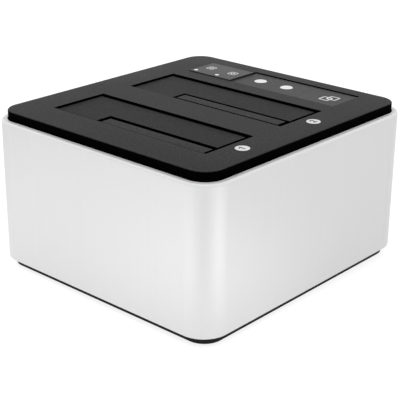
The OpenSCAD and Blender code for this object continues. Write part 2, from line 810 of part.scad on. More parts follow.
// Lid: a plate with a skirt, two slots, ears for the flaps' pins, bosses for the wells and the control
// board, seats for the number discs, and a stepped pocket for the control strip
module top_lid() {
    rail = 2.5;
    recess_w = strip_x1 - window_x1;
    color("#29292b") difference() {
        union() {
            sweep_round(plug_w, plug_d, plug_r) {
                translate([-skirt_t, skirt_z]) square([skirt_t, top_z - lid_edge_r - skirt_z]);
                translate([-skirt_t, skirt_z]) square([skirt_t - lid_edge_r, top_z - skirt_z]);
                translate([-lid_edge_r, top_z - lid_edge_r]) circle(lid_edge_r);
            }
            translate([0, 0, lid_under]) linear_extrude(lid_t)
                round_rect(plug_w - skirt_t, plug_d - skirt_t, plug_r - skirt_t / 2);
            for (bay = [0, 1]) {
                at_large_pin(bay) pin_ears(flap_x0, flap_x1);
                at_small_pin(bay) pin_ears(small_x0, flap_x1);
                at_tabs(bay) translate([0, 0, well_top])
                    cylinder(d = boss_d, h = top_z - lid_skin - well_top);
            }
            translate([strip_x0 - rail, strip_y0 - rail, floor_z])
                cube([strip_w + 2 * rail, recess_d + 2 * rail, lid_under - floor_z + fuse]);
            for (at = panel_screws)
                translate([at[0], at[1], switch_z]) cylinder(d = boss_d, h = floor_z - switch_z + fuse);
        }
        for (bay = [0, 1]) {
            translate([-slot_w / 2, slot_y(bay) - slot_d / 2, lid_under - fuse])
                cube([slot_w, slot_d, lid_t + 2 * fuse]);
            translate([slot_w / 2 + disc_gap, slot_y(bay), top_z - disc_seat])
                cylinder(d = disc_d + 2 * plate_play, h = disc_seat + fuse);
            at_large_pin(bay) pin_line(flap_x0, flap_x1, pin_d + 2 * pin_seat_clear, fuse);
            at_small_pin(bay) pin_line(small_x0, flap_x1, pin_d + 2 * pin_seat_clear, fuse);
            at_tabs(bay) translate([0, 0, well_top - fuse]) thread_bore(short_screw_l + fuse);
        }
        translate([window_x1 - fuse, strip_y0, pocket_z])
            cube([recess_w + fuse, recess_d, top_z - pocket_z + fuse]);
        translate([strip_x0, window_y0, pocket_z]) cube([window_w, window_d, top_z - pocket_z + fuse]);
        for (x = button_x)
            translate([x, button_y, floor_z - fuse])
                cylinder(d = button_d + 2 * button_clear, h = floor_t + 2 * fuse);
        for (x = pipe_x)
            translate([x, pipe_y, floor_z - fuse])
                cylinder(d = pipe_d + 2 * pipe_play, h = floor_t + 2 * fuse);
        for (at = panel_screws)
            translate([at[0], at[1], switch_z - fuse]) thread_bore(short_screw_l + fuse);
    }
}

// Control board under the strip
module control_board() {
    color("#1d4a35") difference() {
        translate([panel_x0, strip_y0, panel_z]) cube([panel_x1 - panel_x0, panel_y1 - strip_y0, board_t]);
        for (at = panel_screws)
            translate([at[0], at[1], panel_z - fuse])
                cylinder(d = screw_d + 2 * screw_clear, h = board_t + 2 * fuse);
    }
}

// Screws that hold the control board up against the lid
module control_board_screws() {
    color("#b9bcc0") for (at = panel_screws)
        translate([at[0], at[1], panel_z]) screw(board_t + short_screw_l - screw_spare);
}

// Bodies of the two push switches, each with a well for its plunger
module push_switches() {
    color("#26272a") for (x = button_x)
        translate([x, button_y, switch_z]) difference() {
            translate([-switch_w / 2, -switch_w / 2, 0]) cube([switch_w, switch_w, switch_h]);
            translate([0, 0, switch_floor]) cylinder(d = plunger_d + 2 * run_gap, h = switch_h);
        }
}

// Plunger of one push switch, which the button rests on
module plunger(i) {
    sunk = switch_h - switch_floor - button_travel - run_gap;
    color("#6b6d70") translate([button_x[i], button_y, switch_z + switch_h - sunk])
        cylinder(d = plunger_d, h = sunk + plunger_out);
}

// Push button: a round cap with a softened rim, level with its plate and held under the lid by a flange
module button(i) {
    ease = 0.3;
    height = plate_top - flange_z;
    color("#f4f4f2") translate([button_x[i], button_y, flange_z]) rotate_extrude() {
        square([button_d / 2 + flange_w, flange_t]);
        square([button_d / 2, height - ease]);
        square([button_d / 2 - ease, height]);
        translate([button_d / 2 - ease, height - ease])
            intersection() {
                circle(ease);
                square(ease);
            }
    }
}

// Indicator lamps on the control board, one under each light pipe
module indicator_lamps() {
    color("#e9e4c8") for (x = pipe_x)
        translate([x - lamp[0] / 2, pipe_y - lamp[1] / 2, switch_z]) cube(lamp);
}

// Light pipes: clear rods with a collar under the lid, which carry the lamps' light to the window
module light_pipes() {
    collar_t = 1;
    collar_w = 0.8;
    foot_z = switch_z + lamp[2] + run_gap;
    color("#f2f5f7") for (x = pipe_x) translate([x, pipe_y, 0]) {
        translate([0, 0, foot_z]) cylinder(d = pipe_d, h = top_z + window_proud - foot_z);
        translate([0, 0, floor_z - collar_t]) cylinder(d = pipe_d + 2 * collar_w, h = collar_t);
    }
}

// Indicator window: a plate with a hole for each light pipe
module indicator_window() {
    height = top_z + window_proud - pocket_z;
    color("#4c4d50") difference() {
        translate([strip_x0 + plate_play, window_y0 + plate_play, pocket_z])
            cube([window_w - plate_play, window_d - 2 * plate_play, height]);
        for (x = pipe_x)
            translate([x, pipe_y, pocket_z - fuse])
                cylinder(d = pipe_d + 2 * pipe_play, h = height + 2 * fuse);
    }
}

// Plate round the two push buttons
module button_plate() {
    color("#444548") difference() {
        translate([window_x1 + plate_play, strip_y0 + plate_play, pocket_z])
            cube([split_x - window_x1 - 1.5 * plate_play, recess_d - 2 * plate_play, plate_t]);
        for (x = button_x)
            translate([x, button_y, pocket_z - fuse])
                cylinder(d = button_d + 2 * button_clear, h = plate_t + 2 * fuse);
    }
}

// Plain plate at the right-hand end of the strip
module end_plate() {
    color("#3d3e41") translate([split_x + plate_play / 2, strip_y0 + plate_play, pocket_z])
        cube([end_plate_w - 1.5 * plate_play, recess_d - 2 * plate_play, plate_t]);
}

// Number disc: a metal disc with an eased edge, set into the lid
module number_disc(bay) {
    ease = disc_proud / 2;
    height = disc_seat + disc_proud;
    color("#cfd1d3") translate([slot_w / 2 + disc_gap, slot_y(bay), top_z - disc_seat])
        rotate_extrude() polygon([
            [0, 0], [disc_d / 2, 0], [disc_d / 2, height - ease], [disc_d / 2 - ease, height], [0, height],
        ]);
}

// Side view of a flap's arm: a knuckle on the pin, and a foot under the flap's root at height v
module arm_profile(root, v) {
    circle(d = knuckle_d);
    polygon([
        [0, arm_low], [0, knuckle_d / 2], [root, knuckle_d / 2], [root, v + flap_t / 2],
        [root + arm_l, v + flap_t / 2], [root + arm_l, v - flap_t / 4], [root + 1, arm_low],
    ]);
}

// Flap in its own frame: a flat outline of (x, u) at height v, with two arms on its pin
module flap(x0, x1, root, v) {
    difference() {
        union() {
            translate([0, 0, v]) linear_extrude(flap_t) children();
            for (x = knuckles(x0, x1)) translate([x, 0, 0]) along_x(knuckle_w) arm_profile(root, v);
        }
        pin_line(x0, x1, pin_d + 2 * pin_clear, fuse);
    }
}

// Large flap: covers a slot except for the corner that the small flap closes
module large_flap(bay) {
    color("#262628") at_large_pin(bay) flap(flap_x0, flap_x1, large_root, flap_v)
        polygon([
            [flap_x0, large_root], [flap_x1, large_root], [flap_x1, large_notch],
            [notch_x, large_notch], [notch_x, large_end], [flap_x0, large_end],
        ]);
}

// Small flap: closes the place of a narrow drive, and swings the other way
module small_flap(bay) {
    color("#2e2e30") at_small_pin(bay)
        flap(small_x0, flap_x1, small_root, flap_v + bay * rear_small_lift)
            translate([small_x0, small_root]) square([small_flap_w, small_flap_d]);
}

// Tube along a path, with the same six-sided section at every point of it
module wire(path, d) {
    sides = 6;
    count = len(path);
    function unit(v) = v / norm(v);
    function ahead(i) = unit(path[min(i + 1, count - 1)] - path[max(i - 1, 0)]);
    function across(i) = unit(cross(ahead(i), [0.31, 0.17, 0.93]));
    points = [
        for (i = [0:count - 1], s = [0:sides - 1])
            let (a = across(i), b = cross(ahead(i), a), t = 360 * s / sides)
                path[i] + d / 2 * (a * cos(t) + b * sin(t))
    ];
    faces = concat(
        [for (i = [0:count - 2], s = [0:sides - 1], half = [0, 1])
            let (n = (s + 1) % sides, p = i * sides, q = p + sides)
                half == 0 ? [p + s, q + s, q + n] : [p + s, q + n, p + n]],
        [[for (s = [0:sides - 1]) s]],
        [[for (s = [sides - 1:-1:0]) (count - 1) * sides + s]]
    );
    polyhedron(points, faces);
}

// Torsion spring on a flap's pin: one leg under the lid, one under the flap
module flap_spring(x0, x1) {
    steps = 8;
    start = (x0 + x1) / 2 - spring_turns * spring_pitch / 2;
    coil = [
        for (i = [0:steps * spring_turns])
            let (t = i / steps)
                [start + t * spring_pitch, coil_r * sin(360 * t), coil_r * cos(360 * t)]
    ];
    last = coil[len(coil) - 1];
    path = concat([coil[0] - [0, spring_tail, 0]], coil, [last + [0, spring_leg, 0]]);
    color("#a4a7ab") wire(path, spring_wire);
}

// Steel pin of one flap
module flap_pin(x0, x1) {
    color("#b4b7bb") pin_line(x0, x1, pin_d);
}

base_plate();
rubber_feet();
main_board();
main_board_screws();
drive_socket(0);  // front_drive_socket
drive_socket(1);  // rear_drive_socket
bridge_chip();
heat_sink();
capacitors();
inductors();
data_socket_shell();
data_socket_tongue();
power_jack();
power_jack_pin();
ribbon_headers();
ribbon_cable();
drive_well(0);  // front_drive_well
drive_well(1);  // rear_drive_well
well_screws();
base_screws();
aluminium_sleeve();
top_lid();
control_board();
control_board_screws();
push_switches();
indicator_lamps();
light_pipes();
indicator_window();
button_plate();
end_plate();
button(0);  // left_button
button(1);  // right_button
plunger(0);  // left_plunger
plunger(1);  // right_plunger
number_disc(0);  // front_number_disc
number_disc(1);  // rear_number_disc
large_flap(0);  // front_large_flap
small_flap(0);  // front_small_flap
large_flap(1);  // rear_large_flap
small_flap(1);  // rear_small_flap
at_large_pin(0) flap_pin(flap_x0, flap_x1);  // front_large_flap_pin
at_small_pin(0) flap_pin(small_x0, flap_x1);  // front_small_flap_pin
at_large_pin(1) flap_pin(flap_x0, flap_x1);  // rear_large_flap_pin
at_small_pin(1) flap_pin(small_x0, flap_x1);  // rear_small_flap_pin
at_large_pin(0) flap_spring(flap_x0, flap_x1);  // front_large_flap_spring
at_small_pin(0) flap_spring(small_x0, flap_x1);  // front_small_flap_spring
at_large_pin(1) flap_spring(flap_x0, flap_x1);  // rear_large_flap_spring
at_small_pin(1) flap_spring(small_x0, flap_x1);  // rear_small_flap_spring
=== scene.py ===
# Two-bay docking station for bare hard drives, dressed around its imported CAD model.
# Everything is in metres in the CAD frame: +Z up, X along the drive slots, -Y the front, +Y the
# rear wall with the sockets.
import math

import bmesh
import bpy
from mathutils import Matrix, Quaternion, Vector


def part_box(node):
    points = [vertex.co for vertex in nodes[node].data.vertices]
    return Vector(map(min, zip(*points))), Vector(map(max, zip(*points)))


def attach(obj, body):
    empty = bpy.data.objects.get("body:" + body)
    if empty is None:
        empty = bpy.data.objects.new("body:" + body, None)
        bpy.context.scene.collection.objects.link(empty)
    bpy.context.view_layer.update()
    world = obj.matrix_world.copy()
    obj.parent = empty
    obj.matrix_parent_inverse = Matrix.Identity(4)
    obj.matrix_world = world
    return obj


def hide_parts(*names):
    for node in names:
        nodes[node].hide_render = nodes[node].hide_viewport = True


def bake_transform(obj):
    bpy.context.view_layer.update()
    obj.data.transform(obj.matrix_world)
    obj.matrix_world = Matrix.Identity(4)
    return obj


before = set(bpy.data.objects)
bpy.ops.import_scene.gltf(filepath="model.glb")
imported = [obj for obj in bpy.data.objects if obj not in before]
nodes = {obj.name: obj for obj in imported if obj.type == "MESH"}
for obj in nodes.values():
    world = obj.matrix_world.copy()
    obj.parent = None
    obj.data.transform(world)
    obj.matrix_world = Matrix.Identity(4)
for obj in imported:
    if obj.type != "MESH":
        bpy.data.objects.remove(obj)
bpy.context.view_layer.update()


# Stage: a plain white floor, lit from below like a light table, under an even white dome. Three spots
# pool light on it that the sleeve mirrors. The camera has the photograph's view.
scene = bpy.context.scene
scene.view_settings.view_transform = "Standard"


def linear(code):
    """Linear RGBA of an sRGB hex colour."""
    channels = [int(code[i:i + 2], 16) / 255 for i in (0, 2, 4)]
    return [c / 12.92 if c <= 0.04045 else ((c + 0.055) / 1.055) ** 2.4 for c in channels] + [1.0]


def start_material(name, **constants):
    """A new material and its shader, with constants set on the shader's own sockets."""
    material = bpy.data.materials.new(name)
    material.use_nodes = True
    shader = material.node_tree.nodes["Principled BSDF"]
    for socket, value in constants.items():
        shader.inputs[socket.replace("_", " ")].default_value = value
    return material, shader


def finished_mesh(name, shape, *materials):
    """Turns a bmesh into an object at the origin."""
    mesh = bpy.data.meshes.new(name)
    shape.to_mesh(mesh)
    shape.free()
    for material in materials:
        mesh.materials.append(material)
    piece = bpy.data.objects.new(name, mesh)
    scene.collection.objects.link(piece)
    return piece


floor_side = 6.0
# Matt white paint on a light table: even and pale, with hardly a shadow
floor_paint, shader = start_material(
    "matt_white_paint", Base_Color=linear("959595"), Roughness=0.9, Specular_IOR_Level=0.1,
    Emission_Color=linear("FFFFFF"), Emission_Strength=0.8,
)
shape = bmesh.new()
bmesh.ops.create_grid(shape, x_segments=8, y_segments=8, size=floor_side / 2)
floor = finished_mesh("floor", shape, floor_paint)

world = bpy.data.worlds.new("studio")
world.use_nodes = True
dome = world.node_tree.nodes["Background"]
dome.inputs["Color"].default_value = linear("FFFFFF")
dome.inputs["Strength"].default_value = 1.0
scene.world = world

spot_height, spot_radius = 0.5, 0.05


def pool_light(name, above, aim, spread, power):
    """A studio spot with a soft edge, hung above one point of the floor and aimed at another."""
    lamp = bpy.data.lights.new(name, "SPOT")
    lamp.spot_size = math.radians(spread)
    lamp.spot_blend = 1.0
    lamp.shadow_soft_size = spot_radius
    lamp.energy = power
    light = bpy.data.objects.new(name, lamp)
    light.location = (*above, spot_height)
    light.rotation_euler = (Vector((*aim, 0)) - light.location).to_track_quat("-Z", "Y").to_euler()
    scene.collection.objects.link(light)


pool_light("left_spot", above=(-0.1, -0.36), aim=(-0.1, -0.235), spread=40, power=14.0)
pool_light("front_spot", above=(0.045, -0.28), aim=(0.045, -0.19), spread=24, power=26.0)
pool_light("right_spot", above=(0.29, -0.052), aim=(0.2, -0.052), spread=25, power=38.0)

view_azimuth, view_elevation, view_roll = (math.radians(angle) for angle in (41.698, 21.942, 0.478))
view_aim, view_distance = Vector((-0.00757, 0.00705, 0.02874)), 0.60414
view_back = Vector((
    math.sin(view_azimuth) * math.cos(view_elevation),
    -math.cos(view_azimuth) * math.cos(view_elevation),
    math.sin(view_elevation),
))
camera = bpy.data.objects.new("camera", bpy.data.cameras.new("camera"))
camera.data.lens = 99.491
camera.data.sensor_width = 36.0
camera.location = view_aim + view_distance * view_back
camera.rotation_mode = "QUATERNION"
camera.rotation_quaternion = view_back.to_track_quat("Z", "Y") @ Quaternion((0, 0, 1), view_roll)
scene.collection.objects.link(camera)
scene.camera = camera


# Base: a black ABS moulding set back under the sleeve, with four soft rubber feet pressed into it and
# four black-oxide screws that go up into the legs of the drive wells.
def dress(material, *names):
    """Gives CAD nodes a material."""
    for name in names:
        nodes[name].material_slots[0].material = material


def add_node(material, kind, values=None, links=None, **settings):
    """Adds one node with its settings, its constants by socket, and its links by socket."""
    node = material.node_tree.nodes.new(kind)
    for key, value in settings.items():
        setattr(node, key, value)
    for socket, value in (values or {}).items():
        node.inputs[socket].default_value = value
    for socket, source in (links or {}).items():
        material.node_tree.links.new(source, node.inputs[socket])
    return node


flow_length, grain_share, plastic_gloss_spread = 0.03, 0.6, 0.08


def moulded_plastic(name, dark, light, grain, depth, roughness, specular):
    """Moulded plastic whose tool texture has grains of a given size and depth, in metres."""
    material, shader = start_material(name, Specular_IOR_Level=specular)
    place = add_node(material, "ShaderNodeTexCoord").outputs["Object"]
    grains = add_node(
        material, "ShaderNodeTexNoise", {"Scale": 1 / grain, "Detail": 6.0, "Roughness": 0.65},
        {"Vector": place},
    ).outputs["Fac"]
    flow = add_node(
        material, "ShaderNodeTexNoise", {"Scale": 1 / flow_length, "Detail": 2.0}, {"Vector": place},
    ).outputs["Fac"]
    # Noise keeps close to its middle, so the grains' tone is stretched to reach both colours
    speckle = add_node(
        material, "ShaderNodeMapRange", {"From Min": 0.34, "From Max": 0.66}, {"Value": grains},
    )
    tone = add_node(material, "ShaderNodeMix", {0: grain_share}, {2: flow, 3: speckle.outputs[0]})
    colour = add_node(
        material, "ShaderNodeMix", {6: linear(dark), 7: linear(light)}, {0: tone.outputs[0]},
        data_type="RGBA",
    )
    gloss = add_node(
        material, "ShaderNodeMapRange",
        {"To Min": roughness - plastic_gloss_spread, "To Max": roughness + plastic_gloss_spread},
        {"Value": flow},
    )
    bump = add_node(material, "ShaderNodeBump", {"Strength": 0.6, "Distance": depth}, {"Height": grains})
    links = material.node_tree.links
    links.new(colour.outputs[2], shader.inputs["Base Color"])
    links.new(gloss.outputs[0], shader.inputs["Roughness"])
    links.new(bump.outputs[0], shader.inputs["Normal"])
    return material


# Stone-blasted tool finish: a dry black with a fine, even grain
base_abs = moulded_plastic(
    "blasted_black_abs", "0A0A0A", "202020", grain=0.0009, depth=0.00008, roughness=0.6, specular=0.1,
)
dress(base_abs, "base_plate")
# Rubber: black and matt, with the slight mottle of carbon filler
foot_rubber = moulded_plastic(
    "black_rubber", "101010", "1E1E1E", grain=0.0009, depth=0.00006, roughness=0.85, specular=0.2,
)
dress(foot_rubber, "rubber_feet")
# Black oxide: a thin dark skin that keeps some of the steel's gloss
oxide_steel = moulded_plastic(
    "black_oxide_steel", "17181A", "2A2B2E", grain=0.0006, depth=0.00002, roughness=0.45, specular=0.5,
)
dress(oxide_steel, "base_screws")


# Main board: glass-epoxy under green solder mask, held to posts on the base by four screws. Its parts
# are soldered on: bridge chip with a heat sink, capacitors, inductors, headers and the sockets.
metal_gloss_spread, metal_grain_depth = 0.06, 0.00001


def worked_metal(name, dark, light, roughness, grain, drawn=(1.0, 1.0, 1.0)):
    """Metal whose tone and gloss vary with grains of a given size, drawn out along chosen axes."""
    material, shader = start_material(name, Metallic=1.0)
    place = add_node(material, "ShaderNodeTexCoord").outputs["Object"]
    along = add_node(material, "ShaderNodeMapping", {"Scale": drawn}, {"Vector": place}).outputs[0]
    grains = add_node(
        material, "ShaderNodeTexNoise", {"Scale": 1 / grain, "Detail": 3.0}, {"Vector": along},
    ).outputs["Fac"]
    colour = add_node(
        material, "ShaderNodeMix", {6: linear(dark), 7: linear(light)}, {0: grains}, data_type="RGBA",
    )
    gloss = add_node(
        material, "ShaderNodeMapRange",
        {"To Min": roughness - metal_gloss_spread, "To Max": roughness + metal_gloss_spread},
        {"Value": grains},
    )
    bump = add_node(
        material, "ShaderNodeBump", {"Strength": 0.4, "Distance": metal_grain_depth}, {"Height": grains},
    )
    links = material.node_tree.links
    links.new(colour.outputs[2], shader.inputs["Base Color"])
    links.new(gloss.outputs[0], shader.inputs["Roughness"])
    links.new(bump.outputs[0], shader.inputs["Normal"])
    return material


# Solder mask: glossy green, lighter where it covers copper tracks 0.4 mm wide, in cells of 4 by 2 mm
track_unit, track_rise = 0.008, 0.00003
solder_mask, shader = start_material("green_solder_mask", Roughness=0.3)
place = add_node(solder_mask, "ShaderNodeTexCoord").outputs["Object"]
tracks = add_node(
    solder_mask, "ShaderNodeTexBrick",
    {"Scale": 1 / track_unit, "Mortar Size": 0.025, "Mortar Smooth": 0.1, "Color1": linear("0E3A26"),
     "Color2": linear("123F2B"), "Mortar": linear("2C6A48")},
    {"Vector": place},
).outputs
bump = add_node(
    solder_mask, "ShaderNodeBump", {"Strength": 0.5, "Distance": track_rise}, {"Height": tracks["Fac"]},
)
solder_mask.node_tree.links.new(tracks["Color"], shader.inputs["Base Color"])
solder_mask.node_tree.links.new(bump.outputs[0], shader.inputs["Normal"])
dress(solder_mask, "main_board", "control_board")

# Zinc plating: bright, slightly bluish steel
zinc_steel = worked_metal("zinc_plated_steel", "9EA2A8", "C2C5CA", roughness=0.3, grain=0.0005)
dress(zinc_steel, "main_board_screws", "well_screws", "control_board_screws")
# Black epoxy: the chip's matt, faintly speckled body
chip_epoxy = moulded_plastic(
    "black_epoxy", "0C0C0D", "1A1A1C", grain=0.0004, depth=0.00002, roughness=0.55, specular=0.4,
)
dress(chip_epoxy, "bridge_chip")
# Extruded fins: grey anodised, with die lines along Y
fin_metal = worked_metal(
    "grey_anodised_fins", "7A8087", "979DA3", roughness=0.45, grain=0.0004, drawn=(1.0, 0.03, 1.0),
)
dress(fin_metal, "heat_sink")
# Pressed ferrite: dark grey and grainy
ferrite = moulded_plastic(
    "pressed_ferrite", "1C1C1D", "343436", grain=0.0004, depth=0.00005, roughness=0.75, specular=0.3,
)
dress(ferrite, "inductors")
# Natural nylon: warm white and slightly waxy
header_nylon = moulded_plastic(
    "natural_nylon", "D8D4C8", "EAE7DE", grain=0.001, depth=0.00002, roughness=0.5, specular=0.5,
)
dress(header_nylon, "ribbon_headers")
# Flat vinyl cable: soft grey, mottled at about the pitch of its wires
cable_vinyl = moulded_plastic(
    "grey_vinyl", "7E8185", "9A9DA1", grain=0.0013, depth=0.00008, roughness=0.55, specular=0.4,
)
dress(cable_vinyl, "ribbon_cable")

# Capacitor: dark blue shrink sleeve on the can's side, bare aluminium on its top
can_top, can_rim, sleeve_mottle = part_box("capacitors")[1].z, 0.0003, 0.002
capacitor, shader = start_material("shrink_sleeve_and_can")
place = add_node(capacitor, "ShaderNodeTexCoord").outputs["Object"]
height = add_node(capacitor, "ShaderNodeSeparateXYZ", {}, {0: place}).outputs["Z"]
is_top = add_node(
    capacitor, "ShaderNodeMath", {1: can_top - can_rim}, {0: height}, operation="GREATER_THAN",
).outputs[0]
mottle = add_node(
    capacitor, "ShaderNodeTexNoise", {"Scale": 1 / sleeve_mottle, "Detail": 2.0}, {"Vector": place},
).outputs["Fac"]
sleeve_blue = add_node(
    capacitor, "ShaderNodeMix", {6: linear("16203A"), 7: linear("223054")}, {0: mottle}, data_type="RGBA",
)
can_colour = add_node(
    capacitor, "ShaderNodeMix", {7: linear("C4C7CB")}, {0: is_top, 6: sleeve_blue.outputs[2]},
    data_type="RGBA",
)
can_gloss = add_node(
    capacitor, "ShaderNodeMapRange", {"To Min": 0.28, "To Max": 0.4}, {"Value": mottle},
)
capacitor.node_tree.links.new(can_colour.outputs[2], shader.inputs["Base Color"])
capacitor.node_tree.links.new(is_top, shader.inputs["Metallic"])
capacitor.node_tree.links.new(can_gloss.outputs[0], shader.inputs["Roughness"])
dress(capacitor, "capacitors")


# Drive sockets: black glass-filled nylon on the main board, one at the bottom of each well. A row of
# 7 and a row of 15 gold-plated spring contacts stand along the rear side of their slots.
# Glass-filled nylon: black, dry and slightly streaky
socket_nylon = moulded_plastic(
    "glass_filled_nylon", "1E1E1F", "323234", grain=0.0006, depth=0.00003, roughness=0.5, specular=0.4,
)
dress(socket_nylon, "front_drive_socket", "rear_drive_socket", "power_jack")
# Gold plate: warm and bright, with faint stamping lines along the contacts
gold_plate = worked_metal(
    "gold_plated_contacts", "C9A24A", "E3C275", roughness=0.25, grain=0.0003, drawn=(1.0, 1.0, 0.1),
)


def stamped_contacts(shape, start, width, steps, pitch, count):
    """A row of strip contacts along X: an edge at start is drawn out in steps, then repeated."""
    ends = [shape.verts.new(start + Vector((x, 0, 0))) for x in (-width / 2, width / 2)]
    rim = shape.edges.new(ends)
    strip = []
    for step in steps:
        drawn = bmesh.ops.extrude_edge_only(shape, edges=[rim])["geom"]
        ends = [v for v in drawn if isinstance(v, bmesh.types.BMVert)]
        bmesh.ops.translate(shape, vec=step, verts=ends)
        rim = next(e for e in ends[0].link_edges if e.other_vert(ends[0]) in ends)
        strip += [f for f in drawn if isinstance(f, bmesh.types.BMFace)]
    for i in range(1, count):
        copied = bmesh.ops.duplicate(shape, geom=strip)["geom"]
        verts = [v for v in copied if isinstance(v, bmesh.types.BMVert)]
        bmesh.ops.translate(shape, vec=(i * pitch, 0, 0), verts=verts)


contact_pitch, contact_width, contact_metal = 0.00127, 0.0007, 0.00015
contact_lift, contact_set = 0.0003, 0.0001
slot_depth, slot_wall = 0.006, 0.0011
socket_body_h, tower_w, slot_rib = 0.0086, 0.0044, 0.000667
data_slot, power_slot = 0.0106, 0.0206
# Up from the foot, out into the slot, then back towards its wall
spring_path = [Vector(step) for step in (
    (0, 0, 0.0012), (0, -0.0004, 0.0012), (0, -0.0002, 0.0010), (0, 0.0003, 0.0010), (0, 0.0003, 0.0006),
)]
for bay in ("front", "rear"):
    low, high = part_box(f"{bay}_drive_socket")
    wall_y = (low.y + high.y) / 2 + slot_wall - contact_set
    foot_z = low.z + socket_body_h - slot_depth + contact_lift
    data_x = low.x + tower_w + slot_rib + data_slot / 2
    power_x = high.x - tower_w - slot_rib - power_slot / 2
    shape = bmesh.new()
    for row_x, count in ((data_x, 7), (power_x, 15)):
        first = Vector((row_x - (count - 1) / 2 * contact_pitch, wall_y, foot_z))
        stamped_contacts(shape, first, contact_width, spring_path, contact_pitch, count)
    bmesh.ops.recalc_face_normals(shape, faces=shape.faces)
    bmesh.ops.solidify(shape, geom=shape.faces[:], thickness=contact_metal)
    contacts = finished_mesh(f"{bay}_socket_contacts", shape, gold_plate)
    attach(contacts, "case")


# Rear sockets: the data socket is a drawn tin-plated shell round a blue tongue with gold contacts on
# its faces; the power jack is black nylon round a plated pin. Both show in holes of the rear wall.
# Tin plate: bright and soft-looking, with drawing marks along the shell
tin_plate = worked_metal(
    "tin_plated_shell", "A9ADB2", "CBCED2", roughness=0.28, grain=0.0006, drawn=(1.0, 0.05, 1.0),
)
dress(tin_plate, "data_socket_shell")
# Blue moulded tongue: smooth and semi-gloss
tongue_plastic = moulded_plastic(
    "blue_moulded_tongue", "1B3F8C", "2850A6", grain=0.0008, depth=0.00002, roughness=0.4, specular=0.5,
)
dress(tongue_plastic, "data_socket_tongue")
# Plated brass pin: pale gold, turned, so its marks run round it
pin_brass = worked_metal(
    "plated_brass_pin", "C2A866", "DCC68C", roughness=0.25, grain=0.0003, drawn=(1.0, 4.0, 1.0),
)
dress(pin_brass, "power_jack_pin")

tongue_lip, lower_ledge, upper_ledge = 0.0012, 0.0032, 0.0014
strip_metal, strip_sink = 0.00008, 0.00004
strip_path = [Vector((0, step, 0)) for step in (0.004, 0.003, 0.0018)]
low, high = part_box("data_socket_tongue")
tongue_x = (low.x + high.x) / 2
shape = bmesh.new()
for face_z, count, pitch, width in (
    (low.z + lower_ledge + strip_sink, 2, 0.0025, 0.0009),
    (high.z - upper_ledge - strip_sink, 5, 0.0008, 0.00045),
):
    first = Vector((tongue_x - (count - 1) / 2 * pitch, low.y + tongue_lip, face_z))
    stamped_contacts(shape, first, width, strip_path, pitch, count)
bmesh.ops.recalc_face_normals(shape, faces=shape.faces)
bmesh.ops.solidify(shape, geom=shape.faces[:], thickness=strip_metal)
tongue_contacts = finished_mesh("data_tongue_contacts", shape, gold_plate)
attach(tongue_contacts, "case")


# Drive wells: deep black ABS boxes with guide ribs, screwed up to the lid and down to the base. Their
# inner faces are left as the tool cut them, and little light gets out of them.
# Drawn tool faces: black with a semi-gloss, so that the ribs catch some light
well_abs = moulded_plastic(
    "semi_gloss_black_abs", "161616", "242424", grain=0.0008, depth=0.00002, roughness=0.4, specular=0.4,
)
dress(well_abs, "front_drive_well", "rear_drive_well")


# Sleeve: an extruded aluminium tube, bead-blasted and clear anodised. The blasting gives an even, soft
# sheen with a fine sparkle, and the die leaves very faint lines along the extrusion, which runs upwards.
# The beads' pits are about 0.1 mm; they are drawn at 0.4 mm so that they show
pit_size, pit_depth, die_line, die_stretch = 0.0004, 0.00002, 0.0015, 0.01
sleeve_metal, shader = start_material("blasted_anodised_aluminium")
coordinates = add_node(sleeve_metal, "ShaderNodeTexCoord").outputs
place = coordinates["Object"]
pits = add_node(
    sleeve_metal, "ShaderNodeTexNoise", {"Scale": 1 / pit_size, "Detail": 2.0}, {"Vector": place},
).outputs["Fac"]
die = add_node(sleeve_metal, "ShaderNodeMapping", {"Scale": (1.0, 1.0, die_stretch)}, {"Vector": place})
lines = add_node(
    sleeve_metal, "ShaderNodeTexNoise", {"Scale": 1 / die_line, "Detail": 4.0}, {"Vector": die.outputs[0]},
).outputs["Fac"]
tone = add_node(sleeve_metal, "ShaderNodeMix", {0: 0.5}, {2: lines, 3: pits})
colour = add_node(
    sleeve_metal, "ShaderNodeMix", {6: linear("C8C8C8"), 7: linear("CECECE")}, {0: tone.outputs[0]},
    data_type="RGBA",
)
# The cut rim was blasted square on, so it scatters more than the walls; the upward faces are also painted
# paler, a painted highlight of the light from above
up = add_node(sleeve_metal, "ShaderNodeSeparateXYZ", {}, {0: coordinates["Normal"]}).outputs["Z"]
rim = add_node(
    sleeve_metal, "ShaderNodeMapRange", {"From Min": 0.08, "From Max": 0.7}, {"Value": up},
).outputs[0]
metal = add_node(sleeve_metal, "ShaderNodeMapRange", {"To Min": 0.5, "To Max": 0.1}, {"Value": rim})
# Painted highlight: the upward faces' colour is mixed towards a paler grey
paler_top_painted_highlight = add_node(
    sleeve_metal, "ShaderNodeMix", {7: linear("DFDFDF")}, {0: rim, 6: colour.outputs[2]}, data_type="RGBA",
)
gloss = add_node(sleeve_metal, "ShaderNodeMapRange", {"To Min": 0.34, "To Max": 0.42}, {"Value": pits})
bump = add_node(sleeve_metal, "ShaderNodeBump", {"Strength": 0.3, "Distance": pit_depth}, {"Height": pits})
sleeve_metal.node_tree.links.new(paler_top_painted_highlight.outputs[2], shader.inputs["Base Color"])
sleeve_metal.node_tree.links.new(metal.outputs[0], shader.inputs["Metallic"])
sleeve_metal.node_tree.links.new(gloss.outputs[0], shader.inputs["Roughness"])
sleeve_metal.node_tree.links.new(bump.outputs[0], shader.inputs["Normal"])
dress(sleeve_metal, "aluminium_sleeve")


# Lid: one black ABS moulding that rests on the sleeve's ribs. Its upper faces are spark-textured and
# scatter light to a dark grey; its walls and the edges of its slots are plain and painted near black as
# painted shade.
# Plain tool steel finish: an even, dull black, painted darker than the textured tops as painted shade on the
# walls
plain_painted_shade_abs = moulded_plastic(
    "plain_black_abs_painted_shade", "010101", "030303", grain=0.0008, depth=0.00002, roughness=0.6, specular=0.003,
)
